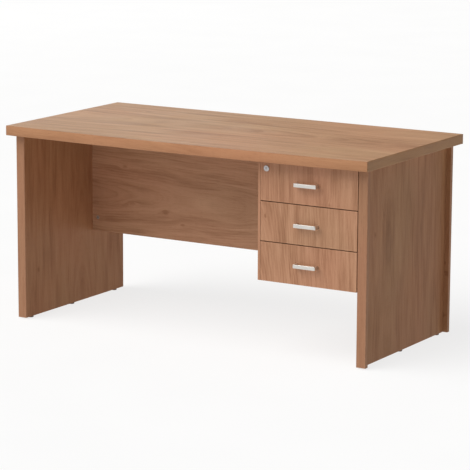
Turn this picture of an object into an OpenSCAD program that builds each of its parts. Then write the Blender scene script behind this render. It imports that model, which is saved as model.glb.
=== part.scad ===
// Teacher's desk: a bowed desktop on two end panels with built-up edges, a modesty panel
// between them, and a pedestal of three drawers with a cam lock in the top one.
// Millimetres. X runs left to right, -Y is the side that the teacher sits at, Z is up.
// The origin is the middle of the desktop's bounding rectangle, on the floor.

/* [Desktop] */
// Length of the desktop, left to right
desk_w = 1500; // [1400:10:1800]
// Depth of the desktop over the middle of its bowed front edge
desk_d = 750; // [740:5:850]
// Height of the working surface
desk_h = 730; // [720:5:760]
// Thickness of the desktop
top_t = 36; // [30:1:40]
// Rise of the bowed front edge over its corners
bow = 19; // [10:1:30]
// Thickness of the banding around the desktop and on the end panels
band_t = 2; // [1:0.5:3]

/* [End panels] */
// Thickness of each end panel at its built-up front and rear edges
panel_t = 36; // [32:1:40]
// Thickness of the board that each end panel is made of
end_board_t = 18; // [18:1:22]
// Depth of the built-up edges, front to back
build_up_d = 18; // [10:1:30]
// Overhang of the desktop at each side
side_overhang = 17; // [10:1:30]
// Setback of the end panels from the desktop's front corners
front_overhang = 39; // [30:1:60]
// Setback of the end panels from the desktop's back edge
rear_overhang = 42; // [20:1:60]
// Height of the floor glides
glide_h = 5; // [4:1:12]
// Diameter of the floor glides
glide_d = 20; // [16:1:24]

/* [Modesty panel] */
// Thickness of the modesty panel
modesty_t = 25; // [24:1:30]
// Distance from the desktop's back edge to the modesty panel
modesty_recess = 227; // [200:1:240]
// Height of the underside of the modesty panel and the pedestal
clear_h = 267; // [245:1:280]

/* [Pedestal] */
// Width of the pedestal
ped_w = 394; // [380:2:450]
// Thickness of the pedestal's boards and of the drawer fronts
board_t = 18; // [16:1:20]
// Thickness of the pedestal's back
back_t = 8; // [6:1:10]
// Gap between one drawer front and the next
front_gap = 3; // [2:0.5:4]
// Gap between the top drawer front and the desktop
top_gap = 4; // [3:0.5:8]
// Width of the pedestal's side that shows beside the drawer fronts
face_strip = 9; // [6:1:12]

/* [Drawers] */
// Thickness of the drawer boxes' sides, fronts and backs
box_t = 12; // [10:1:14]
// Height of the drawer boxes
box_h = 80; // [70:5:80]
// Thickness of the drawer bottoms
bottom_t = 4; // [3:0.5:5]
// Travel of each drawer
travel = 380; // [300:10:380]

/* [Handles] */
// Length of a handle
handle_w = 88; // [80:2:140]
// Height of a handle's bar
handle_h = 13; // [10:1:16]
// How far a handle stands out of its drawer front
handle_out = 24.5; // [20:0.5:35]
// Depth of a handle's bar and width of its legs
handle_t = 7; // [6:0.5:9]

/* [Lock] */
// Distance from the pedestal's left side to the lock's axis
lock_in = 32.5; // [30:0.5:50]
// Distance from the top of the drawer front to the lock's axis
lock_drop = 25; // [22:0.5:26]
// Diameter of the lock's rim
rim_d = 22; // [20:1:26]

/* [Hidden] */
drawers = 3;

// Places shared by the boards
x_out = desk_w / 2 - side_overhang;
x_in = x_out - panel_t;
x_board = x_in + end_board_t;
y_back = desk_d / 2;
y_corner = -desk_d / 2 + bow;
y_front = y_corner + front_overhang;
y_rear = y_back - rear_overhang;
z_under = desk_h - top_t;
y_mod = y_back - modesty_recess - modesty_t;
bow_r = ((desk_w / 2) ^ 2 + bow ^ 2) / (2 * bow);
bow_y = -desk_d / 2 + bow_r;
bow_fn = 2000;
y_side_end = bow_y - sqrt((bow_r - band_t) ^ 2 - (desk_w / 2) ^ 2);
lipping_t = 1;

// Places inside the pedestal
x_ped = x_in - ped_w;
x_left = x_ped + board_t;
x_right = x_in - board_t;
y_box = y_front + board_t;
y_carcass = y_box + 1;
y_ped_back = y_mod - back_t;
z_floor = clear_h + board_t;
strip_gap = 1;
end_gap = 2.5;
x_face = x_ped + face_strip + strip_gap;
face_w = x_in - end_gap - x_face;
face_h = (z_under - clear_h - top_gap - (drawers - 1) * front_gap) / drawers;
rail_w = 60;
rail_y = [y_box + 27, y_ped_back - 10 - rail_w];
rail_screw_in = 100;
side_screw_y = [y_front + 117, y_mod - 63];

// Drawer boxes and their runners
runner_t = 12.7;
runner_h = 45;
runner_l = 400;
runner_y = y_box + 2;
sheet_t = 1.2;
ball_r = 1.55;
track_gap = 3.2;
cage_l = 180;
cage_t = 0.4;
cage_y = runner_y + travel / 4 + 6;
cage_balls = 5;
cabinet_rim = 10.5;
middle_web = 2.4;
middle_rim = 10.9;
drawer_rim = 8.1;
outer_cage = [1.5, 8.5, 6.5];
inner_cage = [3.85, 9.5, 7.5];
cabinet_screw_y = [40, 250];
member_screw_y = [60, 270];
box_l = 400;
box_lift = 22;
groove_up = 8;
groove_d = 6;
groove_fit = 0.1;
x_box = x_left + runner_t;
box_w = x_right - runner_t - x_box;

// Lock
lock_x = x_ped + lock_in;
barrel_d = 18;
plug_d = 12;
plug_fit = 0.05;
barrel_l = board_t + 4.5;
tongue_t = 2;
tongue_l = 25;
tongue_w = 10;
tail_w = 6;
strike_t = 1.5;
strike_w = 20;
strike_screw_back = 9;

// Fasteners
screw_d = 4;
screw_head_d = 8;
screw_head_h = 2.4;
hole_fit = 0.15;
plate_hole_r = screw_d / 2 + 0.4;
dowel_d = 8;
dowel_in = 12;
dowel_l = 30;
dowel_chamfer = 1;
bracket_screw_l = 16;
board_screw_l = 30;
front_screw_l = box_t + 11;
front_screw_x = 130;
front_screw_z = [20, box_h - 20];
handle_screw_l = 40;
cam_d = 15;
panel_cam_l = 13;
panel_cam_axis = end_board_t / 2;
modesty_cam_l = 17;
modesty_cam_axis = modesty_t / 2;
cam_in = 24;
cam_bolt_d = 6;
cam_bolt_grip = 11;
bracket_w = 40;
bracket_leg = 38;
bracket_t = 2.5;
bracket_screw_step = 11;
bracket_screw_out = 26;
bracket_x = [-420, 0, 420];
panel_cam_y = [-170, 0, 270];
panel_dowel_y = [-215, 35, 235];
modesty_cam_z = [clear_h + 52, clear_h + 355];
modesty_dowel_z = [clear_h + 20, clear_h + 215, clear_h + 410];
glide_y = [y_front + 42, y_front + 307, y_rear - 53];
glide_pin_l = 15;
glide_pin_d = 3;

wood = "#a47c5c";
wood_light = "#bd9478";
wood_dark = "#7d5c44";
edging = "#b28460";
board_grey = "#d8d2c8";
steel = "#b9bcc0";
nickel = "#d5d2cc";
beech = "#c9a878";
plastic = "#4a3a30";

// Drawer 1 is the top one
function face_z(i) = clear_h + (drawers - i) * (face_h + front_gap);
function box_z(i) = face_z(i) + box_lift;
function runner_z(i) = box_z(i) + box_h / 2;
function handle_z(i) = face_z(i) + face_h / 2;
function middle(a, b) = (a + b) / 2;

// ---- Shapes that repeat ----

// Block between two opposite corners
module block(low, high) {
    translate(low) cube(high - low);
}

// Turns +Z to one of the row's other directions
module to_x() rotate([0, 90, 0]) children();
module to_minus_x() rotate([0, -90, 0]) children();
module to_y() rotate([-90, 0, 0]) children();
module to_minus_y() rotate([90, 0, 0]) children();
module to_minus_z() rotate([180, 0, 0]) children();

// The children once on the left and once mirrored about the plane x = at
module both_sides(at = 0) {
    children();
    translate([2 * at, 0, 0]) mirror([1, 0, 0]) children();
}

// Cross-section of a thick edge band: its back on the X axis, rounded towards -Y
module band_section(width) {
    intersection() {
        translate([-width / 2, -band_t]) square([width, band_t]);
        union() {
            square([width - 2 * band_t, 2 * band_t], center = true);
            for (side = [-1, 1])
                translate([side * (width / 2 - band_t), 0]) circle(r = band_t, $fn = 32);
        }
    }
}

// Pan-head screw, shank along +Z from the origin and head below it, with a cross recess
module pan_screw(length) {
    tip = 3;
    rim = 1;
    recess_w = 0.9;
    recess_l = 4.4;
    recess_d = 1.4;
    difference() {
        union() {
            translate([0, 0, -screw_head_h])
                cylinder(d1 = screw_head_d - 2 * rim, d2 = screw_head_d, h = rim, $fn = 32);
            translate([0, 0, rim - screw_head_h])
                cylinder(d = screw_head_d, h = screw_head_h - rim, $fn = 32);
            cylinder(d = screw_d, h = length - tip, $fn = 24);
            translate([0, 0, length - tip]) cylinder(d1 = screw_d, d2 = 1, h = tip, $fn = 24);
        }
        for (turn = [0, 90])
            rotate([0, 0, turn])
                translate([-recess_l / 2, -recess_w / 2, -screw_head_h - 1])
                    cube([recess_l, recess_w, recess_d + 1]);
    }
}

// Hole for the shank of that screw, from a little before the origin to just past its tip
module screw_hole(length) {
    before = 0.5;
    past = 2;
    translate([0, 0, -before])
        cylinder(r = screw_d / 2 + hole_fit, h = before + length + past, $fn = 24);
}

// ---- Places of the hidden joints ----

// Cam fittings. Each looks along +Z into its board, with its bolt running out along +X
module at_modesty_cams() {
    for (side = [-1, 1], z = modesty_cam_z)
        translate([side * (x_in - cam_in), y_mod, z])
            to_y() rotate([0, 0, side < 0 ? 180 : 0]) children();
}

module at_panel_cams() {
    for (side = [-1, 1], y = panel_cam_y)
        translate([side * x_in, y, z_under - cam_in])
            rotate([0, side * 90, 0]) rotate([0, 0, side > 0 ? 180 : 0]) children();
}

// Pocket for a cam, the way of its bolt and the bolt's threaded end
module cam_cut(length, axis) {
    translate([0, 0, -1]) cylinder(d = cam_d, h = length + 1.3, $fn = 48);
    translate([0, 0, axis]) to_x() {
        cylinder(r = 4, h = cam_in, $fn = 32);
        translate([0, 0, cam_in - 0.5])
            cylinder(r = cam_bolt_d / 2 + hole_fit, h = cam_bolt_grip + 1, $fn = 32);
    }
}

module cam_cuts() {
    at_modesty_cams() cam_cut(modesty_cam_l, modesty_cam_axis);
    at_panel_cams() cam_cut(panel_cam_l, panel_cam_axis);
}

// Dowels. +Z points into the board whose edge is joined, from the plane of the joint
module at_dowels() {
    for (side = [-1, 1]) {
        for (z = modesty_dowel_z)
            translate([side * x_in, y_mod + modesty_t / 2, z]) rotate([0, -side * 90, 0]) children();
        for (y = panel_dowel_y)
            translate([side * middle(x_in, x_board), y, z_under]) to_minus_z() children();
        for (y = [y_box + 40, y_ped_back - 35])
            translate([side < 0 ? x_left : x_right, y, clear_h + board_t / 2])
                rotate([0, -side * 90, 0]) children();
        for (y0 = rail_y, step = [-18, 18])
            translate([side < 0 ? x_left : x_right, y0 + rail_w / 2 + step, z_under - board_t / 2])
                rotate([0, -side * 90, 0]) children();
    }
}

module dowel_cuts() {
    translate([0, 0, -dowel_in - 0.5])
        cylinder(r = dowel_d / 2 + hole_fit, h = dowel_l + 1, $fn = 32);
}

// Screws of the three angle brackets behind the modesty panel
module at_bracket_screws() {
    y0 = y_mod + modesty_t;
    for (x = bracket_x, step = bracket_screw_step * [-1, 1]) {
        translate([x + step, y0 + bracket_t, z_under - bracket_screw_out])
            to_minus_y() children();
        translate([x + step, y0 + bracket_screw_out, z_under - bracket_t]) children();
    }
}

// Screws that fix the pedestal to the desktop and to the right end panel
module at_pedestal_screws() {
    for (x = [x_ped + rail_screw_in, x_in - rail_screw_in], y0 = rail_y)
        translate([x, y0 + rail_w / 2, z_under - board_t]) children();
    for (y = side_screw_y, i = [1, 2])
        translate([x_right, y, middle(runner_z(i), runner_z(i + 1))]) to_x() children();
}

// ---- Desktop ----

// Plan of the desktop, drawn in from its edges by a given distance
module desktop_plan(inset) {
    intersection() {
        translate([-desk_w / 2 + inset, -desk_d / 2])
            square([desk_w - 2 * inset, desk_d - inset]);
        translate([0, bow_y]) circle(r = bow_r - inset, $fn = bow_fn);
    }
}

module desktop_board() {
    color(wood_light)
        difference() {
            translate([0, 0, z_under]) linear_extrude(top_t) desktop_plan(band_t);
            cam_cuts();
            at_dowels() dowel_cuts();
            at_bracket_screws() screw_hole(bracket_screw_l);
            at_pedestal_screws() screw_hole(board_screw_l);
            at_strike_screw() screw_hole(bracket_screw_l);
        }
}

module desktop_front_edge() {
    color(edging)
        translate([0, 0, z_under])
            linear_extrude(top_t)
                difference() {
                    desktop_plan(0);
                    translate([0, bow_y]) circle(r = bow_r - band_t, $fn = bow_fn);
                }
}

module desktop_side_edges() {
    length = y_back - band_t - y_side_end;
    color(edging)
        both_sides()
            translate([-desk_w / 2 + band_t, y_back - band_t, z_under + top_t / 2])
                rotate([90, 0, 0]) linear_extrude(length) rotate(-90) band_section(top_t);
}

module desktop_back_edge() {
    color(edging)
        translate([desk_w / 2, y_back - band_t, z_under + top_t / 2])
            rotate([90, 0, -90]) linear_extrude(desk_w) rotate(-90) band_section(top_t);
}

// ---- End panels and modesty panel ----

module end_panel(side) {
    x = side < 0 ? -x_board : x_in;
    color(wood)
        difference() {
            block([x, y_front + band_t, glide_h], [x + end_board_t, y_rear - band_t, z_under]);
            cam_cuts();
            at_dowels() dowel_cuts();
            at_glides() translate([0, 0, glide_h])
                cylinder(r = glide_pin_d / 2 + hole_fit, h = glide_pin_l + 1, $fn = 24);
            if (side > 0) at_pedestal_screws() screw_hole(board_screw_l);
        }
}

// Strips on the outer faces that make the front and rear edges look twice as thick
module end_panel_build_ups() {
    depth = build_up_d - band_t;
    color(wood)
        both_sides()
            for (y = [y_front + band_t, y_rear - band_t - depth])
                block([x_board, y, glide_h], [x_out, y + depth, z_under]);
}

module end_panel_edges() {
    color(edging)
        for (side = [-1, 1], rear = [0, 1])
            translate([side * (x_out - panel_t / 2), rear ? y_rear - band_t : y_front + band_t, glide_h])
                rotate([0, 0, rear * 180]) linear_extrude(z_under - glide_h) band_section(panel_t);
}

module modesty_panel() {
    color(wood_dark)
        difference() {
            block([-x_in, y_mod, clear_h + lipping_t], [x_in, y_mod + modesty_t, z_under]);
            cam_cuts();
            at_dowels() dowel_cuts();
            at_bracket_screws() screw_hole(bracket_screw_l);
        }
}

module modesty_lower_edge() {
    color(edging)
        block([-x_in, y_mod, clear_h], [x_in, y_mod + modesty_t, clear_h + lipping_t]);
}

module modesty_brackets() {
    y0 = y_mod + modesty_t;
    color(steel)
        difference() {
            for (x = bracket_x) {
                x0 = x - bracket_w / 2;
                x1 = x + bracket_w / 2;
                block([x0, y0, z_under - bracket_leg], [x1, y0 + bracket_t, z_under]);
                block([x0, y0, z_under - bracket_t], [x1, y0 + bracket_leg, z_under]);
            }
            at_bracket_screws() translate([0, 0, -1])
                cylinder(r = plate_hole_r, h = bracket_t + 2, $fn = 24);
        }
}

module bracket_screws() {
    color(steel) at_bracket_screws() pan_screw(bracket_screw_l);
}

// A zinc cam: a drum with a hollow for the bolt's head and a cross recess in its face
module cam_housing(length, axis) {
    difference() {
        cylinder(d = cam_d - 0.4, h = length, $fn = 48);
        translate([0, 0, axis]) to_x() cylinder(r = 4, h = cam_d, $fn = 32);
        for (turn = [45, 135])
            rotate([0, 0, turn]) translate([-4, -0.8, -1]) cube([8, 1.6, 4]);
    }
}

module cam_housings() {
    color(steel) {
        at_modesty_cams() cam_housing(modesty_cam_l, modesty_cam_axis);
        at_panel_cams() cam_housing(panel_cam_l, panel_cam_axis);
    }
}

// A bolt with its head in the cam, a thin neck and a thicker threaded end
module cam_bolt(axis) {
    head_h = 3;
    neck_l = 9;
    translate([0, 0, axis]) to_x() {
        cylinder(d = 7, h = head_h, $fn = 32);
        cylinder(d = 4, h = cam_in, $fn = 32);
        translate([0, 0, neck_l])
            cylinder(d = cam_bolt_d, h = cam_in + cam_bolt_grip - neck_l, $fn = 32);
    }
}

module cam_bolts() {
    color(steel) {
        at_modesty_cams() cam_bolt(modesty_cam_axis);
        at_panel_cams() cam_bolt(panel_cam_axis);
    }
}

module wood_dowels() {
    c = dowel_chamfer;
    color(beech)
        at_dowels()
            translate([0, 0, -dowel_in]) {
                cylinder(d1 = dowel_d - 2 * c, d2 = dowel_d, h = c, $fn = 32);
                translate([0, 0, c]) cylinder(d = dowel_d, h = dowel_l - 2 * c, $fn = 32);
                translate([0, 0, dowel_l - c])
                    cylinder(d1 = dowel_d, d2 = dowel_d - 2 * c, h = c, $fn = 32);
            }
}

module at_glides() {
    for (side = [-1, 1], y = glide_y)
        translate([side * middle(x_in, x_board), y, 0]) children();
}

// A glide: a plastic disc with a chamfered foot, on a nail
module floor_glides() {
    chamfer = 1.5;
    tip = 3;
    color(plastic)
        at_glides() {
            cylinder(d1 = glide_d - 2 * chamfer, d2 = glide_d, h = chamfer, $fn = 48);
            translate([0, 0, chamfer]) cylinder(d = glide_d, h = glide_h - chamfer, $fn = 48);
            translate([0, 0, glide_h]) cylinder(d = glide_pin_d, h = glide_pin_l - tip, $fn = 24);
            translate([0, 0, glide_h + glide_pin_l - tip])
                cylinder(d1 = glide_pin_d, d2 = 0.6, h = tip, $fn = 24);
        }
}

// ---- Pedestal ----

// The left side runs on beside the drawer fronts as a narrow strip
module pedestal_left_side() {
    color(wood)
        difference() {
            union() {
                block([x_ped, y_carcass, clear_h], [x_left, y_mod, z_under]);
                block([x_ped, y_front + lipping_t, clear_h], [x_ped + face_strip, y_carcass, z_under]);
            }
            at_dowels() dowel_cuts();
            at_runner_screws() runner_screw_hole();
        }
}

module pedestal_right_side() {
    color(wood)
        difference() {
            block([x_right, y_carcass + lipping_t, clear_h], [x_in, y_mod, z_under]);
            at_dowels() dowel_cuts();
            at_runner_screws() runner_screw_hole();
            at_pedestal_screws() screw_hole(board_screw_l);
        }
}

module pedestal_top_rails() {
    color(wood)
        difference() {
            for (y0 = rail_y)
                block([x_left, y0, z_under - board_t], [x_right, y0 + rail_w, z_under]);
            at_dowels() dowel_cuts();
            at_pedestal_screws() screw_hole(board_screw_l);
        }
}

module pedestal_floor() {
    color(wood)
        difference() {
            block([x_left, y_carcass + lipping_t, clear_h], [x_right, y_mod, z_floor]);
            at_dowels() dowel_cuts();
        }
}

module pedestal_back() {
    color(board_grey)
        block([x_left, y_ped_back, z_floor], [x_right, y_mod, z_under]);
}

module pedestal_edges() {
    color(edging) {
        block([x_ped, y_front, clear_h], [x_ped + face_strip, y_front + lipping_t, z_under]);
        block([x_right, y_carcass, clear_h], [x_in, y_carcass + lipping_t, z_under]);
        block([x_left, y_carcass, clear_h], [x_right, y_carcass + lipping_t, z_floor]);
    }
}

module pedestal_screws() {
    color(steel) at_pedestal_screws() pan_screw(board_screw_l);
}

// ---- Drawer runners ----
// A runner stands on the side of the pedestal at x = 0 and reaches to x = runner_t. Its
// cross-section is drawn about its middle height, and it runs along +Y.

module at_runner_pair(i) {
    both_sides(middle(x_left, x_right))
        translate([x_left, runner_y, runner_z(i)]) children();
}

// Channel whose web starts at x = web and whose flanges reach to x = rim
module channel(web, rim, half_h, t, length) {
    low = min(web, rim);
    wide = abs(rim - web);
    difference() {
        translate([low, 0, -half_h]) cube([wide, length, 2 * half_h]);
        translate([low + (rim > web ? t : -1), -1, t - half_h])
            cube([wide - t + 1, length + 2, 2 * (half_h - t)]);
    }
}

outer_half = runner_h / 2;
middle_half = outer_half - sheet_t - track_gap;
inner_half = middle_half - sheet_t - track_gap;

// Countersunk screws through a runner's web, at the pedestal's side or the drawer's side
module at_runner_screws() {
    for (i = [1:drawers], y = cabinet_screw_y)
        at_runner_pair(i) translate([sheet_t, y, 0]) to_minus_x() children();
}

module at_member_screws(i) {
    for (y = member_screw_y)
        at_runner_pair(i) translate([runner_t - sheet_t, y, 0]) to_x() children();
}

module runner_screw(fit = 0) {
    head_d = 6.5;
    head_h = 1.2;
    shank_d = 3.2;
    cylinder(d1 = head_d + 2 * fit, d2 = shank_d + 2 * fit, h = head_h, $fn = 32);
    cylinder(d = shank_d + 2 * fit, h = 11 + fit, $fn = 24);
}

module runner_screw_hole() {
    runner_screw(0.1);
}

module runner_cabinet_members() {
    lip = 0.6;
    lip_z = outer_half - sheet_t - lip;
    color(steel)
        for (i = [1:drawers])
            difference() {
                at_runner_pair(i) {
                    channel(0, cabinet_rim, outer_half, sheet_t, runner_l);
                    for (z = [-lip_z - lip, lip_z])
                        translate([cabinet_rim - sheet_t, 0, z]) cube([sheet_t, runner_l, lip]);
                }
                at_runner_screws() runner_screw_hole();
            }
}

module runner_screws() {
    color(steel) at_runner_screws() runner_screw();
}

module middle_members(i) {
    color(steel)
        at_runner_pair(i) channel(middle_web, middle_rim, middle_half, sheet_t, runner_l);
}

module drawer_members(i) {
    color(steel)
        difference() {
            at_runner_pair(i)
                translate([runner_t, 0, 0]) mirror([1, 0, 0])
                    channel(0, drawer_rim, inner_half, sheet_t, runner_l);
            at_member_screws(i) runner_screw_hole();
        }
}

// Two rows of balls in a folded strip. at holds the places of its web, its rim and its
// balls across the runner, and half_h is the height of the inner track's face
module ball_cage(at, half_h) {
    fold = half_h + track_gap / 2 + cage_t / 2;
    pitch = cage_l / cage_balls;
    channel(at[0], at[1], fold, cage_t, cage_l);
    for (end = [-1, 1], k = [0:cage_balls - 1])
        translate([at[2], pitch * (k + 0.5), end * (half_h + track_gap / 2)])
            sphere(r = ball_r, $fn = 24);
}

module outer_ball_cages(i) {
    color(steel)
        at_runner_pair(i)
            translate([0, cage_y - runner_y, 0]) ball_cage(outer_cage, middle_half);
}

module inner_ball_cages(i) {
    color(steel)
        at_runner_pair(i)
            translate([0, cage_y - runner_y, 0]) ball_cage(inner_cage, inner_half);
}

// ---- Drawers ----

module at_handle_screws(i) {
    for (end = [-1, 1])
        translate([middle(x_ped, x_in) + end * (handle_w - handle_t) / 2, y_box + box_t, handle_z(i)])
            to_minus_y() children();
}

module at_front_screws(i) {
    for (x = front_screw_x * [-1, 1], z = front_screw_z)
        translate([middle(x_left, x_right) + x, y_box + box_t, box_z(i) + z])
            to_minus_y() children();
}

module drawer_front(i) {
    color(wood)
        difference() {
            block([x_face, y_front, face_z(i)], [x_face + face_w, y_box, face_z(i) + face_h]);
            at_handle_screws(i) screw_hole(handle_screw_l);
            at_front_screws(i) screw_hole(front_screw_l);
            if (i == 1)
                translate([lock_x, y_front - 1, lock_z()]) to_y()
                    cylinder(d = barrel_d + 0.4, h = board_t + 2, $fn = 48);
        }
}

// Groove for the drawer bottom, cut in from inside the box
module bottom_groove(i) {
    block(
        [x_box + box_t - groove_d, y_box + box_t - groove_d, box_z(i) + groove_up - groove_fit],
        [x_box + box_w - box_t + groove_d, y_box + box_l - box_t + groove_d,
            box_z(i) + groove_up + bottom_t + groove_fit]
    );
}

module box_sides(i) {
    color(board_grey)
        difference() {
            both_sides(x_box + box_w / 2)
                block([x_box, y_box, box_z(i)], [x_box + box_t, y_box + box_l, box_z(i) + box_h]);
            bottom_groove(i);
            at_member_screws(i) runner_screw_hole();
        }
}

module box_ends(i) {
    color(board_grey)
        difference() {
            for (y = [y_box, y_box + box_l - box_t])
                block(
                    [x_box + box_t, y, box_z(i)],
                    [x_box + box_w - box_t, y + box_t, box_z(i) + box_h]
                );
            bottom_groove(i);
            at_handle_screws(i) screw_hole(handle_screw_l);
            at_front_screws(i) screw_hole(front_screw_l);
        }
}

module drawer_bottom(i) {
    tongue = groove_d - 0.5;
    color(board_grey)
        block(
            [x_box + box_t - tongue, y_box + box_t - tongue, box_z(i) + groove_up],
            [x_box + box_w - box_t + tongue, y_box + box_l - box_t + tongue,
                box_z(i) + groove_up + bottom_t]
        );
}

// Outline of a handle from above, with its legs towards +Y and round outer corners
module handle_outline() {
    r = 3;
    difference() {
        union() {
            translate([-handle_w / 2, r]) square([handle_w, handle_out - r]);
            translate([r - handle_w / 2, 0]) square([handle_w - 2 * r, handle_out]);
            for (end = [-1, 1])
                translate([end * (handle_w / 2 - r), r]) circle(r = r, $fn = 48);
        }
        translate([handle_t - handle_w / 2, handle_t]) square([handle_w - 2 * handle_t, handle_out]);
    }
}

module handle(i) {
    color(nickel)
        difference() {
            translate([middle(x_ped, x_in), y_front - handle_out, handle_z(i) - handle_h / 2])
                linear_extrude(handle_h) handle_outline();
            at_handle_screws(i) screw_hole(handle_screw_l);
        }
}

module drawer_screws(i) {
    color(steel) {
        at_handle_screws(i) pan_screw(handle_screw_l);
        at_front_screws(i) pan_screw(front_screw_l);
        at_member_screws(i) runner_screw();
    }
}

// ---- Lock ----

function lock_z() = face_z(1) + face_h - lock_drop;
function strike_low() = [x_left + 5, y_box + 2, z_under - board_t];
function strike_high() = [x_left + 5 + strike_w, y_box + 2 + strike_w, z_under];

module at_strike_screw() {
    x = middle(strike_low()[0], strike_high()[0]);
    translate([x, strike_high()[1] - strike_screw_back, z_under - strike_t]) children();
}

// Rim, barrel and the bore that the plug turns in. +Z points from the face into the drawer
module at_lock() {
    translate([lock_x, y_front, lock_z()]) to_y() children();
}

module lock_body() {
    rim_t = 2.5;
    bevel = 1.5;
    color(nickel)
        at_lock()
            difference() {
                union() {
                    translate([0, 0, -rim_t])
                        cylinder(d1 = rim_d - 2 * bevel, d2 = rim_d, h = bevel, $fn = 64);
                    translate([0, 0, bevel - rim_t])
                        cylinder(d = rim_d, h = rim_t - bevel, $fn = 64);
                    cylinder(d = barrel_d, h = barrel_l, $fn = 64);
                }
                translate([0, 0, -rim_t - 1])
                    cylinder(r = plug_d / 2 + plug_fit, h = barrel_l + rim_t + 2, $fn = 64);
            }
}

// Plug with a keyway in its face and a square tail for the cam
module lock_plug() {
    key_w = 2.2;
    key_h = 8;
    key_l = 16;
    proud = 2.8;
    color(nickel)
        at_lock()
            difference() {
                union() {
                    translate([0, 0, -proud]) cylinder(d = plug_d, h = barrel_l + proud, $fn = 64);
                    translate([-tail_w / 2, -tail_w / 2, barrel_l])
                        cube([tail_w, tail_w, tongue_t + 0.4]);
                }
                translate([-key_w / 2, -key_h / 2, -proud - 1])
                    cube([key_w, key_h, key_l]);
            }
}

// Tongue that points to the right when the drawer is unlocked, and the screw that holds it
module lock_cam() {
    hub_r = 7;
    color(steel)
        at_lock() {
            translate([0, 0, barrel_l + 0.3])
                difference() {
                    union() {
                        cylinder(r = hub_r, h = tongue_t, $fn = 48);
                        translate([0, -tongue_w / 2, 0]) cube([tongue_l, tongue_w, tongue_t]);
                    }
                    translate([-tail_w / 2 - 0.05, -tail_w / 2 - 0.05, -1])
                        cube([tail_w + 0.1, tail_w + 0.1, tongue_t + 2]);
                }
            translate([0, 0, barrel_l + tongue_t + 0.4])
                difference() {
                    cylinder(d = 9, h = 2, $fn = 32);
                    for (turn = [0, 90])
                        rotate([0, 0, turn]) translate([-2.2, -0.5, 1]) cube([4.4, 1, 2]);
                }
        }
}

// Angle under the desktop that the tongue rises behind, with its own screw
module lock_strike() {
    low = strike_low();
    high = strike_high();
    color(steel) {
        difference() {
            union() {
                block(low, [high[0], low[1] + strike_t, high[2]]);
                block([low[0], low[1], high[2] - strike_t], high);
            }
            at_strike_screw() translate([0, 0, -1])
                cylinder(r = plate_hole_r, h = strike_t + 2, $fn = 24);
        }
        at_strike_screw() pan_screw(bracket_screw_l);
    }
}

// ---- Assembly ----

desktop_board();
desktop_front_edge();
desktop_side_edges();
desktop_back_edge();
end_panel(-1);  // left_end_panel
end_panel(1);  // right_end_panel
end_panel_build_ups();
end_panel_edges();
modesty_panel();
modesty_lower_edge();
modesty_brackets();
bracket_screws();
cam_housings();
cam_bolts();
wood_dowels();
floor_glides();
pedestal_left_side();
pedestal_right_side();
pedestal_top_rails();
pedestal_floor();
pedestal_back();
pedestal_edges();
pedestal_screws();
runner_cabinet_members();
runner_screws();
lock_strike();
lock_body();
lock_plug();
lock_cam();

for (i = [1:drawers]) {
    drawer_front(i);
    box_sides(i);
    box_ends(i);
    drawer_bottom(i);
    handle(i);
    drawer_screws(i);
    drawer_members(i);
    middle_members(i);
    outer_ball_cages(i);
    inner_ball_cages(i);
}
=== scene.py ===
"""Looks of the teacher desk.

Woodgrain laminate, satin nickel fittings, zinc-plated runners and a plain studio.
"""

import math

import bpy
from mathutils import Matrix, Vector


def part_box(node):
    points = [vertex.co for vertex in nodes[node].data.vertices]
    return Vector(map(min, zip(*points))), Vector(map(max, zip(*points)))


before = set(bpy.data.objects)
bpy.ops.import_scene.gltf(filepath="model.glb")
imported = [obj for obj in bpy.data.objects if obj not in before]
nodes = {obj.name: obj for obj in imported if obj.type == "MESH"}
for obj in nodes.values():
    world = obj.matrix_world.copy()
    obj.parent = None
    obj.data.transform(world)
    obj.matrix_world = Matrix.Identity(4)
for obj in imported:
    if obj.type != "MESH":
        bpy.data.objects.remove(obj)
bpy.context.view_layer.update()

MM = 0.001
DRAWERS = (1, 2, 3)


# ---------------------------------------------------------------- camera
CAMERA_AZIMUTH = 31.16    # degrees, seen from the front and the desk's right
CAMERA_ELEVATION = 11.18  # degrees above the horizon
CAMERA_ROLL = 0.28        # degrees
CAMERA_DISTANCE = 8.867   # metres from the point it looks at
CAMERA_TARGET = Vector((-0.0203, 0.0636, 0.3286))
CAMERA_LENS = 184.09      # millimetres
SENSOR_WIDTH = 36         # millimetres
CLIP_START, CLIP_END = 0.1, 200


def make_camera():
    data = bpy.data.cameras.new("camera")
    data.lens = CAMERA_LENS
    data.sensor_width = SENSOR_WIDTH
    data.clip_start = CLIP_START
    data.clip_end = CLIP_END
    camera = bpy.data.objects.new("camera", data)
    azimuth, elevation = math.radians(CAMERA_AZIMUTH), math.radians(CAMERA_ELEVATION)
    level = math.cos(elevation)
    back = Vector((math.sin(azimuth) * level, -math.cos(azimuth) * level, math.sin(elevation)))
    turn = (-back).to_track_quat("-Z", "Y").to_matrix().to_4x4()
    roll = Matrix.Rotation(math.radians(CAMERA_ROLL), 4, "Z")
    place = Matrix.Translation(CAMERA_TARGET + back * CAMERA_DISTANCE)
    camera.matrix_world = place @ turn @ roll
    bpy.context.scene.collection.objects.link(camera)
    bpy.context.scene.camera = camera


# ---------------------------------------------------------------- node trees
# Sockets of a Mix node that mixes colours
MIX_FACTOR, MIX_A, MIX_B, MIX_RESULT = 0, 6, 7, 2


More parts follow.
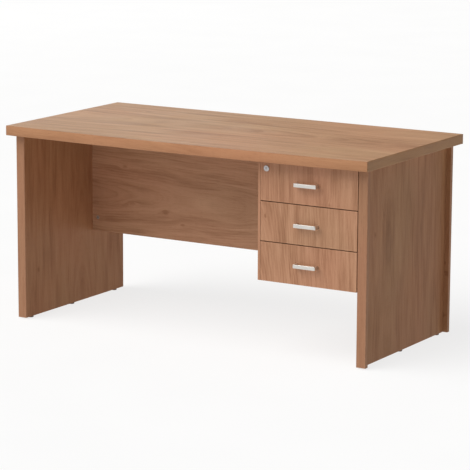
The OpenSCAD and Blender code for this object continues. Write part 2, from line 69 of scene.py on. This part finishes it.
class Graph:
    """One material's node tree, built by short calls that return output sockets."""

    def __init__(self, name):
        self.material = bpy.data.materials.new(name)
        self.material.use_nodes = True
        self.tree = self.material.node_tree
        self.tree.nodes.clear()
        self.own = self.tree.nodes.new("ShaderNodeTexCoord").outputs["Object"]
        split = self.node("ShaderNodeSeparateXYZ", {0: self.own})
        self.axis = {letter: split.outputs[letter] for letter in "XYZ"}

    def node(self, kind, inputs=None, **settings):
        made = self.tree.nodes.new(kind)
        for key, value in settings.items():
            setattr(made, key, value)
        for key, value in (inputs or {}).items():
            if isinstance(value, bpy.types.NodeSocket):
                self.tree.links.new(value, made.inputs[key])
            else:
                made.inputs[key].default_value = value
        return made

    def math(self, operation, a, b=0.0):
        return self.node("ShaderNodeMath", {0: a, 1: b}, operation=operation).outputs[0]

    def add(self, a, b):
        return self.math("ADD", a, b)

    def sub(self, a, b):
        return self.math("SUBTRACT", a, b)

    def mul(self, a, b):
        return self.math("MULTIPLY", a, b)

    def sway(self, noise, size):
        """noise, which lies round 0.5, as a swing of size round zero."""
        return self.mul(self.sub(noise, 0.5), size)

    def vector(self, x, y, z=0.0):
        return self.node("ShaderNodeCombineXYZ", {0: x, 1: y, 2: z}).outputs[0]

    def noise(self, vector, scale=1.0, detail=2.0, rough=0.5):
        inputs = {"Vector": vector, "Scale": scale, "Detail": detail, "Roughness": rough}
        return self.node("ShaderNodeTexNoise", inputs).outputs["Fac"]

    def drawn_noise(self, first, second, rates, third, detail, rough=0.5):
        """Noise with its own rate, in cycles a metre, along each of two directions."""
        at = self.vector(self.mul(first, rates[0]), self.mul(second, rates[1]), third)
        return self.noise(at, 1, detail, rough)

    def spots(self, scale, detail, low, high):
        """0 where the noise is below low, 1 where it is above high."""
        return self.span(self.noise(self.own, scale, detail), low, high)

    def span(self, value, low, high, new_low=0.0, new_high=1.0, smooth=False):
        """value from low..high carried to new_low..new_high, held at both ends."""
        inputs = {"Value": value, "From Min": low, "From Max": high,
                  "To Min": new_low, "To Max": new_high}
        kind = "SMOOTHSTEP" if smooth else "LINEAR"
        made = self.node("ShaderNodeMapRange", inputs, interpolation_type=kind, clamp=True)
        return made.outputs["Result"]

    def ramp(self, factor, stops):
        made = self.node("ShaderNodeValToRGB", {0: factor})
        points = made.color_ramp.elements
        for place, _ in stops[len(points):]:
            points.new(place)
        for point, (place, colour) in zip(points, sorted(stops)):
            point.position = place
            point.color = (*colour, 1)
        return made.outputs["Color"]

    def mix(self, factor, a, b, blend="MIX"):
        made = self.node("ShaderNodeMix", data_type="RGBA", blend_type=blend)
        for key, value in ((MIX_FACTOR, factor), (MIX_A, a), (MIX_B, b)):
            if isinstance(value, bpy.types.NodeSocket):
                self.tree.links.new(value, made.inputs[key])
            else:
                plain = key == MIX_FACTOR
                made.inputs[key].default_value = value if plain else (*value, 1)
        return made.outputs[MIX_RESULT]

    def stain(self, colour, mask, strength, other):
        """colour taken towards another one, strength of the way where the mask is 1."""
        return self.mix(self.mul(mask, strength), colour, other)

    def clouds(self, scale, dark, pale):
        """A colour that drifts softly between two tones."""
        return self.mix(self.spots(scale, 3, 0.3, 0.7), dark, pale)

    def bump(self, height, distance, strength):
        inputs = {"Height": height, "Distance": distance, "Strength": strength}
        return self.node("ShaderNodeBump", inputs).outputs["Normal"]

    def finish(self, colour, roughness, normal=None, metallic=0.0, **values):
        inputs = {"Base Color": colour, "Roughness": roughness, "Metallic": metallic}
        if normal:
            inputs["Normal"] = normal
        inputs.update({key.replace("_", " "): value for key, value in values.items()})
        shader = self.node("ShaderNodeBsdfPrincipled", inputs)
        self.node("ShaderNodeOutputMaterial", {"Surface": shader.outputs[0]})
        return self.material


def srgb(red, green, blue):
    """A colour given as 0 to 255 screen values, as the linear values that a socket takes."""
    scaled = (c / 255 for c in (red, green, blue))
    return tuple(c / 12.92 if c <= 0.04045 else ((c + 0.055) / 1.055) ** 2.4 for c in scaled)


def shade(colour, tone):
    return tuple(c * t for c, t in zip(colour, tone))


def edge_distance(g, box):
    """Distance in metres from a point on a box-shaped board to the board's nearest edge.

    It is the middle one of the point's distances to the three pairs of faces.
    """
    low, high = box
    near = []
    for letter, a, b in zip("XYZ", low, high):
        near.append(g.math("MINIMUM", g.sub(g.axis[letter], a), g.sub(b, g.axis[letter])))
    smaller = g.math("MINIMUM", near[0], near[1])
    larger = g.math("MAXIMUM", near[0], near[1])
    return g.math("MAXIMUM", smaller, g.math("MINIMUM", larger, near[2]))


# ---------------------------------------------------------------- woodgrain
# Tones of the printed grain, from the darkest line to the palest band
GRAIN_LINE = srgb(104, 66, 44)
GRAIN_DARK = srgb(146, 102, 74)
GRAIN_MID = srgb(172, 127, 98)
GRAIN_PALE = srgb(190, 146, 116)
GRAIN_STOPS = ((0.0, GRAIN_LINE), (0.33, GRAIN_DARK), (0.6, GRAIN_MID), (1.0, GRAIN_PALE))
GRAIN_LEVEL = 0.60                # where plain film lies between those stops
WARM_DRIFT = (1.03, 0.98, 0.975)  # the film drifts slowly between these two casts
COOL_DRIFT = (0.975, 1.01, 0.985)
RUBBED_CAST = (1.12, 1.1, 1.08)

# How far the growth rings stray from straight lines, in metres, and how often, in cycles a
# metre along and across the grain
WANDER_SIZE, WANDER_RATES = 0.05, (1.1, 1.6)
RIPPLE_SIZE, RIPPLE_RATES = 0.012, (4.5, 11)
SWAY_SIZE, SWAY_RATE = 0.05, 2.2

# A knot is twice as long as wide, pushes the rings aside and has a dark core
KNOT_STRETCH = 2.0
KNOT_PUSH = 0.9
KNOT_CORE = (0.55, 0.97)          # from the rim of the core to its middle
KNOT_DARKNESS = 0.20

# Rates of the patterns, in cycles a metre: across the rings or the grain, then along it
BAND_RATES = (46, 3.6)
RING_RATES = (170, 8)
FIBRE_RATES = (700, 9)
PORE_RATES = (1700, 42)
THROUGH_RATE = 40                 # from one face of the board to the other
COARSE = 0.6                      # roughness of the noise of rings and fibres
BAND_STRENGTH, RING_STRENGTH, FIBRE_STRENGTH = 0.75, 0.62, 0.50
PORE_SPOTS = (0.62, 0.72)
PORE_DARKNESS = 0.35

# Growth lines: each darkens slowly and ends sharply, and they fade in and out
LINE_RATE = 120
LINE_JITTER = 1.1
LINE_RISE, LINE_FALL = (0.35, 0.86), (0.88, 1.0)
LINE_DARKNESS = 0.11

# Broad patches: their rates, in cycles a metre along the grain and across it, and the part of
# the noise that they span
LINE_PATCH_RATES, LINE_PATCHES = (2.4, 5), (0.4, 0.62)
DRIFT_RATES, DRIFT_PATCHES = (1.5, 3.2), (0.35, 0.65)

# Handling wear: the film is rubbed a little paler and duller right at the arrises
RUB_WIDTH = 4 * MM
RUB_SCALE, RUB_SPOTS = 46, (0.42, 0.66)
RUB_PALENESS = 0.22

# What smears, fibres and wear add to the film's roughness, and its relief
SMEAR_SCALE, SMEAR_ROUGHNESS = 7, 0.12
FIBRE_ROUGHNESS = 0.08
RUB_ROUGHNESS = 0.08
FIBRE_RELIEF = 0.35               # against the pores' 1
FILM_RELIEF, FILM_STRENGTH = 0.12 * MM, 0.6
FILM_IOR = 1.48


def grain_field(g, along, across, seed, heart, slope, knots):
    """Distance across the growth rings, in metres, and the dark core of each knot.

    The rings bend round the heart of the board and round each knot.
    """
    heart_across, heart_along, depth = heart
    wander = g.drawn_noise(along, across, WANDER_RATES, seed, detail=1)
    ripple = g.drawn_noise(along, across, RIPPLE_RATES, seed + 7, detail=2)
    side = g.sub(across, heart_across)
    side = g.add(side, g.sway(wander, WANDER_SIZE))
    side = g.add(side, g.sway(ripple, RIPPLE_SIZE))
    rise = g.noise(g.vector(g.mul(along, SWAY_RATE), seed + 3.7), detail=1)
    lift = g.add(g.mul(g.sub(along, heart_along), slope), depth)
    lift = g.add(lift, g.sway(rise, SWAY_SIZE))
    field = g.math("SQRT", g.add(g.mul(side, side), g.mul(lift, lift)))
    cores = []
    for knot_across, knot_along, size in knots:
        p = g.mul(g.sub(along, knot_along), 1 / (KNOT_STRETCH * size))
        q = g.mul(g.sub(across, knot_across), 1 / size)
        hill = g.math("EXPONENT", g.mul(g.add(g.mul(p, p), g.mul(q, q)), -1.0))
        field = g.add(field, g.mul(hill, KNOT_PUSH * size))
        cores.append(g.span(hill, *KNOT_CORE, smooth=True))
    return field, cores


def wood(name, along, across, box, seed, heart, slope, knots=(), tone=(1, 1, 1), contrast=1.0,
         figure=1.0, roughness=0.42, gloss=0.25, streak=1.0):
    """Printed woodgrain film: grain runs along one axis, and the figure lies across the other.

    heart is (across, along, depth) of the log's middle, and a knot is (across, along, size), all
    in metres. streak above 1 draws the bands out along the grain.
    """
    g = Graph(name)
    through = next(letter for letter in "XYZ" if letter not in (along, across))
    u = g.axis[along]
    v = g.axis[across]
    w = g.mul(g.axis[through], THROUGH_RATE)
    field, cores = grain_field(g, u, v, seed, heart, slope, knots)

    drawn_bands = (BAND_RATES[0], BAND_RATES[1] / streak)
    drawn_rings = (RING_RATES[0], RING_RATES[1] / streak)
    bands = g.drawn_noise(field, u, drawn_bands, g.add(w, seed), detail=2)
    rings = g.drawn_noise(field, u, drawn_rings, g.add(w, seed + 5), detail=3, rough=COARSE)
    fibre = g.drawn_noise(v, u, FIBRE_RATES, w, detail=2, rough=COARSE)
    pores = g.span(g.drawn_noise(v, u, PORE_RATES, w, detail=1), *PORE_SPOTS, smooth=True)

    step = g.math("FRACT", g.add(g.mul(field, LINE_RATE), g.mul(rings, LINE_JITTER)))
    rise = g.span(step, *LINE_RISE, smooth=True)
    fall = g.span(step, *LINE_FALL, 1.0, 0.0, smooth=True)
    patches = g.drawn_noise(u, v, LINE_PATCH_RATES, seed + 19, detail=1)
    growth = g.mul(g.mul(rise, fall), g.span(patches, *LINE_PATCHES))

    value = g.add(GRAIN_LEVEL, g.sway(bands, BAND_STRENGTH * contrast))
    value = g.add(value, g.sway(rings, RING_STRENGTH * contrast))
    value = g.add(value, g.sway(fibre, FIBRE_STRENGTH * contrast))
    value = g.sub(value, g.mul(growth, LINE_DARKNESS * figure))
    for core in cores:
        value = g.sub(value, g.mul(core, KNOT_DARKNESS))
    colour = g.ramp(value, [(place, shade(c, tone)) for place, c in GRAIN_STOPS])

    patches = g.drawn_noise(u, v, DRIFT_RATES, seed + 11, detail=2)
    drift = g.mix(g.span(patches, *DRIFT_PATCHES), COOL_DRIFT, WARM_DRIFT)
    colour = g.mix(1.0, colour, drift, "MULTIPLY")
    colour = g.stain(colour, pores, PORE_DARKNESS, shade(GRAIN_LINE, tone))
    rub = g.span(edge_distance(g, box), 0.0, RUB_WIDTH, 1.0, 0.0)
    rub = g.mul(rub, g.spots(RUB_SCALE, 2, *RUB_SPOTS))
    colour = g.stain(colour, rub, RUB_PALENESS, shade(GRAIN_PALE, RUBBED_CAST))

    smears = g.mul(g.noise(g.own, SMEAR_SCALE, 3), SMEAR_ROUGHNESS)
    rough = g.add(roughness - SMEAR_ROUGHNESS / 2, smears)
    rough = g.add(rough, g.mul(fibre, FIBRE_ROUGHNESS))
    rough = g.add(rough, g.mul(rub, RUB_ROUGHNESS))
    normal = g.bump(g.sub(g.mul(fibre, FIBRE_RELIEF), pores), FILM_RELIEF, FILM_STRENGTH)
    return g.finish(colour, rough, normal, IOR=FILM_IOR, Specular_IOR_Level=gloss)


# ---------------------------------------------------------------- other finishes
def melamine(name, base, seed):
    """Pale board with a fine orange-peel skin, faint flecks and scuffs."""
    cloud_scale, fleck_scale = 9 + seed, 900
    scuff_rates = {"X": 14, "Y": 3, "Z": 30}
    skin_scale, skin_relief = 600, 0.08 * MM
    smooth, scuffed_more = 0.42, 0.18
    g = Graph(name)
    flecks = g.spots(fleck_scale, 2, 0.6, 0.72)
    stretched = g.vector(*(g.mul(g.axis[letter], rate) for letter, rate in scuff_rates.items()))
    scuffs = g.span(g.noise(stretched, detail=3), 0.55, 0.75)
    colour = g.clouds(cloud_scale, shade(base, (0.94, 0.94, 0.93)), base)
    colour = g.stain(colour, flecks, 0.18, shade(base, (0.72, 0.7, 0.66)))
    colour = g.stain(colour, scuffs, 0.10, shade(base, (0.8, 0.78, 0.74)))
    rough = g.add(smooth, g.mul(scuffs, scuffed_more))
    return g.finish(colour, rough, g.bump(g.noise(g.own, skin_scale), skin_relief, 0.5))


def beech(name):
    """Plain beech with its fibres along X."""
    rates = {"X": 60, "Y": 500, "Z": 500}
    smooth, fibres_more, relief = 0.55, 0.2, 0.2 * MM
    g = Graph(name)
    stretched = g.vector(*(g.mul(g.axis[letter], rate) for letter, rate in rates.items()))
    fibres = g.noise(stretched, detail=3)
    colour = g.ramp(fibres, [(0.3, srgb(176, 132, 88)), (0.7, srgb(214, 176, 128))])
    rough = g.add(smooth, g.mul(fibres, fibres_more))
    return g.finish(colour, rough, g.bump(fibres, relief, 0.6))


def plated(name, base, brushed, seed, roughness, tint=(1.0, 1.0, 1.0), metallic=1.0):
    """Metal with drawing lines along one axis, soft cloudiness and fine handling marks."""
    fast, slow, relief = 1400, 22, 0.03 * MM
    cloud_scale, mark_scale = 30 + seed, 260 + seed
    lines_more, marks_more = 0.16, 0.12
    g = Graph(name)
    rates = [g.mul(g.axis[letter], slow if letter == brushed else fast) for letter in "XYZ"]
    lines = g.noise(g.vector(*rates))
    marks = g.spots(mark_scale, 3, 0.62, 0.75)
    colour = g.clouds(cloud_scale, shade(base, (0.9, 0.9, 0.9)), shade(base, tint))
    colour = g.stain(colour, marks, 0.25, shade(base, (0.7, 0.69, 0.67)))
    rough = g.add(roughness - 0.07, g.mul(lines, lines_more))
    rough = g.add(rough, g.mul(marks, marks_more))
    return g.finish(colour, rough, g.bump(lines, relief, 0.5), metallic)


def turned(name, base, centre, seed, keyway=None):
    """Satin plate turned on a lathe, with fine rings round an axis along Y.

    keyway is the start and end along Y of a keyway, whose inside is painted dark as shade in
    that hollow and made duller.
    """
    ring_rates, relief, cloud_scale = (5200, 900), 0.04 * MM, 160
    smooth, rings_more, keyway_more = 0.22, 0.2, 0.35
    keyway_fade, keyway_painted_shade = 1.2 * MM, srgb(38, 34, 30)
    g = Graph(name)
    x = g.sub(g.axis["X"], centre.x)
    z = g.sub(g.axis["Z"], centre.z)
    radius = g.math("SQRT", g.add(g.mul(x, x), g.mul(z, z)))
    rings = g.drawn_noise(radius, g.axis["Y"], ring_rates, seed, detail=2)
    colour = g.clouds(cloud_scale, shade(base, (0.86, 0.86, 0.87)), base)
    rough = g.add(smooth, g.mul(rings, rings_more))
    # The inside of the keyway is painted near black: painted shade in the hollow.
    if keyway:
        start, end = keyway
        deep = g.span(g.axis["Y"], start, start + keyway_fade)
        inside = g.mul(deep, g.math("LESS_THAN", g.axis["Y"], end))
        colour = g.mix(inside, colour, keyway_painted_shade)
        rough = g.add(rough, g.mul(inside, keyway_more))
    return g.finish(colour, rough, g.bump(rings, relief, 0.6), 1.0)


def plastic(name, base):
    """Moulded plastic with a spark-eroded skin, dustier and duller towards the floor."""
    cloud_scale, dust_scale, skin_scale = 60, 400, 1500
    dusty_height, dust = 6 * MM, srgb(128, 116, 106)
    smooth, dust_more, relief = 0.42, 0.25, 0.1 * MM
    g = Graph(name)
    low = g.span(g.axis["Z"], 0.0, dusty_height, 1.0, 0.0)
    dusty = g.mul(low, g.spots(dust_scale, 3, 0.4, 0.65))
    colour = g.clouds(cloud_scale, shade(base, (0.85, 0.85, 0.85)),
                      shade(base, (1.15, 1.12, 1.1)))
    colour = g.stain(colour, dusty, 0.4, dust)
    rough = g.add(smooth, g.mul(dusty, dust_more))
    return g.finish(colour, rough, g.bump(g.noise(g.own, skin_scale), relief, 0.6))


# ---------------------------------------------------------------- the desk's pieces
JOIN_DISTANCE = 0.01 * MM
FLAT_ANGLE = math.radians(0.5)
ARRIS_ANGLE = math.radians(50)


def each_drawer(pattern):
    return [pattern.format(i) for i in DRAWERS]


def paint(node_names, material):
    for name in node_names:
        piece = nodes[name]
        piece.data.materials.clear()
        piece.data.materials.append(material)


def laminate(node_names, name, slot, along, across, **look):
    """Paints pieces with one woodgrain film, worn at the edges of the first piece's box."""
    paint(node_names, wood(name, along, across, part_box(node_names[0]), **look))


def plate(node_names, name, slot, base, **look):
    """Paints pieces with one plated or drawn metal."""
    paint(node_names, plated(name, base, **look))


def soften(node_names, width, segments=3):
    """Rounds the arrises of a board or bar.

    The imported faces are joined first, so that each arris is one edge.
    """
    for name in node_names:
        piece = nodes[name]
        weld = piece.modifiers.new("join_faces", "WELD")
        weld.merge_threshold = JOIN_DISTANCE
        flat = piece.modifiers.new("join_triangles", "DECIMATE")
        flat.decimate_type = "DISSOLVE"
        flat.angle_limit = FLAT_ANGLE
        bevel = piece.modifiers.new("arris", "BEVEL")
        bevel.width = width
        bevel.segments = segments
        bevel.limit_method = "ANGLE"
        bevel.angle_limit = ARRIS_ANGLE
        bevel.use_clamp_overlap = False
        bevel.harden_normals = True


def paint_desktop():
    edge_tone = (0.98, 0.92, 0.80)
    # The desktop's film is painted paler than the same film on the drawer fronts: painted light,
    # for the top that faces the key light.
    laminate(["desktop_board"], "desktop_laminate", "desktop_laminate", "X", "Y",
             seed=1.3, heart=(0.02, 0.1, 0.16), slope=0.045, tone=(1.26, 1.35, 1.24),
             contrast=1.15, streak=1.8, roughness=0.36, gloss=0.45,
             knots=[(-0.14, 0.46, 0.012), (0.22, -0.5, 0.014)])
    laminate(["desktop_front_edge"], "front_edge_banding", "edge_banding", "X", "Z",
             seed=4.2, heart=(0.6, 0.0, 0.2), slope=0.02, tone=edge_tone, contrast=0.45,
             figure=0.3)
    # The side edges are the same banding as the front edge, painted darker: painted shade, for
    # the side edge that faces away from the key light.
    laminate(["desktop_side_edges"], "side_edge_banding", "edge_banding", "Y", "Z",
             seed=6.1, heart=(0.6, 0.0, 0.2), slope=0.02, tone=(0.78, 0.75, 0.50),
             contrast=0.6, figure=0.3)
    laminate(["desktop_back_edge"], "back_edge_banding", "edge_banding", "X", "Z",
             seed=8.9, heart=(0.6, 0.0, 0.2), slope=0.02, tone=edge_tone, contrast=0.5,
             figure=0.3)


def paint_end_panels():
    # The right panel and its build-ups are painted darker than the same film on the pedestal:
    # painted shade, for outer faces that turn away from the key light.
    outer_painted_shade_tone = (0.81, 0.76, 0.64)
    laminate(["right_end_panel"], "right_panel_laminate", "panel_laminate", "Z", "Y",
             seed=2.6, heart=(-0.12, 0.2, 0.05), slope=0.05, tone=outer_painted_shade_tone, gloss=0.1,
             contrast=0.85, knots=[(-0.165, 0.515, 0.010), (-0.222, 0.455, 0.009)])
    # The left panel is painted darker too: painted shade, for its inner face under the desktop.
    laminate(["left_end_panel"], "left_panel_laminate", "panel_laminate", "Z", "Y",
             seed=9.4, heart=(0.05, 0.3, 0.06), slope=0.05, tone=(0.78, 0.74, 0.63), gloss=0.1,
             contrast=0.7, knots=[(-0.235, 0.175, 0.010)])
    laminate(["end_panel_build_ups"], "build_up_laminate", "panel_laminate", "Z", "Y",
             seed=4.9, heart=(0.5, 0.0, 0.1), slope=0.03, tone=outer_painted_shade_tone, gloss=0.18,
             contrast=0.7)
    laminate(["end_panel_edges"], "end_panel_edge_banding", "edge_banding", "Z", "X",
             seed=3.3, heart=(0.4, 0.0, 0.1), slope=0.03, tone=(0.80, 0.78, 0.74),
             contrast=0.45, figure=0.3)


def paint_modesty_and_pedestal():
    laminate(["modesty_panel", "modesty_lower_edge"], "modesty_laminate", "modesty_laminate",
             "X", "Z", seed=5.5, heart=(0.42, -0.2, 0.07), slope=0.035,
             tone=(1.03, 1.05, 1.05), contrast=0.8,
             knots=[(0.527, -0.548, 0.011), (0.387, -0.513, 0.012),
                    (0.370, -0.363, 0.014), (0.328, -0.287, 0.009)])
    laminate(["pedestal_left_side", "pedestal_right_side"], "pedestal_side_laminate",
             "pedestal_laminate", "Z", "Y", seed=7.7, heart=(-0.1, 0.4, 0.08), slope=0.05)
    laminate(["pedestal_floor", "pedestal_back", "pedestal_top_rails"],
             "pedestal_board_laminate", "pedestal_laminate", "X", "Y",
             seed=3.9, heart=(-0.1, 0.4, 0.08), slope=0.05)
    laminate(["pedestal_edges"], "pedestal_edge_banding", "edge_banding", "Z", "X",
             seed=3.1, heart=(0.6, 0.0, 0.1), slope=0.03, contrast=0.5, figure=0.3)


def paint_drawer_fronts():
    hearts = {1: (0.565, 0.66, 0.0), 2: (0.28, 0.2, 0.05), 3: (0.25, 0.1, 0.06)}
    knots = {1: [(0.585, 0.558, 0.008)], 2: [(0.331, 0.497, 0.007)], 3: []}
    for i in DRAWERS:
        laminate([f"drawer_{i}_front"], f"drawer_{i}_front_laminate", "front_laminate",
                 "Z", "X", seed=1.1 + 2.3 * i, heart=hearts[i], slope=0.14, knots=knots[i])


def paint_drawer_boxes():
    board = melamine("drawer_board_melamine", srgb(216, 212, 203), seed=1)
    boards = each_drawer("drawer_{}_box_sides") + each_drawer("drawer_{}_box_ends")
    paint(boards, board)
    hardboard = melamine("drawer_bottom_hardboard", srgb(206, 200, 188), seed=3)
    paint(each_drawer("drawer_{}_bottom"), hardboard)
    paint(["wood_dowels"], beech("beech_dowel"))


def paint_hardware():
    zinc = srgb(196, 199, 204)
    members = ["runner_cabinet_members"] + each_drawer("runner_{}_middle_members")
    members += each_drawer("drawer_{}_runner_members")
    plate(members, "runner_zinc_plate", "runner_zinc", zinc, brushed="Y", seed=2,
          roughness=0.34, tint=(1.0, 1.0, 0.97))
    cages = each_drawer("runner_{}_outer_ball_cages") + each_drawer("runner_{}_inner_ball_cages")
    plate(cages, "ball_steel_polished", "ball_steel", srgb(206, 207, 212), brushed="Y", seed=5,
          roughness=0.18)
    screws = ["bracket_screws", "pedestal_screws", "runner_screws", "cam_bolts"]
    screws += each_drawer("drawer_{}_screws")
    plate(screws, "fastener_steel_plate", "fastener_steel", srgb(190, 192, 196), brushed="Z",
          seed=8, roughness=0.3, tint=(1.0, 0.99, 0.95))
    plate(["modesty_brackets"], "bracket_zinc_plate", "fastener_steel", zinc, brushed="X",
          seed=4, roughness=0.36)
    plate(["cam_housings"], "cam_zinc_casting", "cam_zinc", srgb(172, 160, 150), brushed="Z",
          seed=6, roughness=0.5, metallic=0.5)
    plate(each_drawer("drawer_{}_handle"), "handle_satin_nickel", "handle_nickel",
          srgb(226, 222, 216), brushed="X", seed=3, roughness=0.34)
    plate(["lock_cam", "lock_strike"], "lock_cam_steel", "lock_nickel", zinc, brushed="X",
          seed=7, roughness=0.34)
    paint(["floor_glides"], plastic("glide_brown_plastic", srgb(94, 68, 52)))


def paint_lock():
    nickel = srgb(196, 191, 190)
    body_low, body_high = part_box("lock_body")
    axis = (body_low + body_high) / 2
    plug_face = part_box("lock_plug")[0].y
    keyway = (plug_face + 0.3 * MM, plug_face + 16 * MM)
    body = turned("lock_satin_nickel", nickel, axis, seed=2.0)
    plug = turned("lock_plug_nickel", nickel, axis, seed=5.0, keyway=keyway)
    paint(["lock_body"], body)
    paint(["lock_plug"], plug)


def round_arrises():
    soften(["desktop_front_edge"], 1.5 * MM)
    soften(each_drawer("drawer_{}_front"), 0.8 * MM)
    soften(each_drawer("drawer_{}_handle"), 0.9 * MM)
    soften(["modesty_lower_edge"], 0.4 * MM, segments=2)


# ---------------------------------------------------------------- studio
AMBIENT = 0.22      # even light from all round

# The key light is soft: it is so wide that its shadows are faint
KEY_FROM = (-0.42, -0.50, 0.76)
KEY_STRENGTH = 3.2
KEY_WIDTH = 60      # degrees
KEY_COLOUR = (1.0, 0.985, 0.965)

# The sheen light is a low panel behind the desk, seen as gloss on the desktop
SHEEN_PLACE = (-9.0, 8.0, 3.2)
SHEEN_TARGET = (0, 0, 0.7)
SHEEN_SIZE = (8, 4)
SHEEN_POWER = 60

# The floor is a lit white table, which keeps the shadow under the desk pale
FLOOR_HALF = 40     # metres from its middle to its sides
FLOOR_GLOW = 0.78
FLOOR_DARK, FLOOR_PALE = (0.18, 0.18, 0.18), (0.205, 0.205, 0.205)
FLOOR_MOTTLE = 2    # scale of the drift between those two
FLOOR_ROUGHNESS = 0.9


def add_light(name, kind, direction):
    """A light that shines along a direction, at the origin until it is moved."""
    data = bpy.data.lights.new(name, kind)
    light = bpy.data.objects.new(name, data)
    light.rotation_mode = "QUATERNION"
    light.rotation_quaternion = Vector(direction).to_track_quat("-Z", "Y")
    bpy.context.scene.collection.objects.link(light)
    return light, data


def make_lights():
    scene = bpy.context.scene
    scene.view_settings.view_transform = "Standard"
    scene.world = bpy.data.worlds.new("studio")
    scene.world.use_nodes = True
    background = scene.world.node_tree.nodes["Background"]
    background.inputs["Color"].default_value = (1, 1, 1, 1)
    background.inputs["Strength"].default_value = AMBIENT

    _, sun = add_light("key", "SUN", -Vector(KEY_FROM))
    sun.energy = KEY_STRENGTH
    sun.angle = math.radians(KEY_WIDTH)
    sun.color = KEY_COLOUR

    panel, area = add_light("sheen", "AREA", Vector(SHEEN_TARGET) - Vector(SHEEN_PLACE))
    panel.location = SHEEN_PLACE
    area.shape = "RECTANGLE"
    area.size, area.size_y = SHEEN_SIZE
    area.energy = SHEEN_POWER


def make_floor():
    half = FLOOR_HALF
    mesh = bpy.data.meshes.new("floor")
    corners = [(-half, -half, 0), (half, -half, 0), (half, half, 0), (-half, half, 0)]
    mesh.from_pydata(corners, [], [(0, 1, 2, 3)])
    floor = bpy.data.objects.new("floor", mesh)
    bpy.context.scene.collection.objects.link(floor)
    g = Graph("floor_paper")
    tint = g.mix(g.noise(g.own, FLOOR_MOTTLE), FLOOR_DARK, FLOOR_PALE)
    glow = {"Emission_Color": (1, 1, 1, 1), "Emission_Strength": FLOOR_GLOW}
    mesh.materials.append(g.finish(tint, FLOOR_ROUGHNESS, Specular_IOR_Level=0.0, **glow))


make_camera()
paint_desktop()
paint_end_panels()
paint_modesty_and_pedestal()
paint_drawer_fronts()
paint_drawer_boxes()
paint_hardware()
paint_lock()
round_arrises()
make_lights()
make_floor()
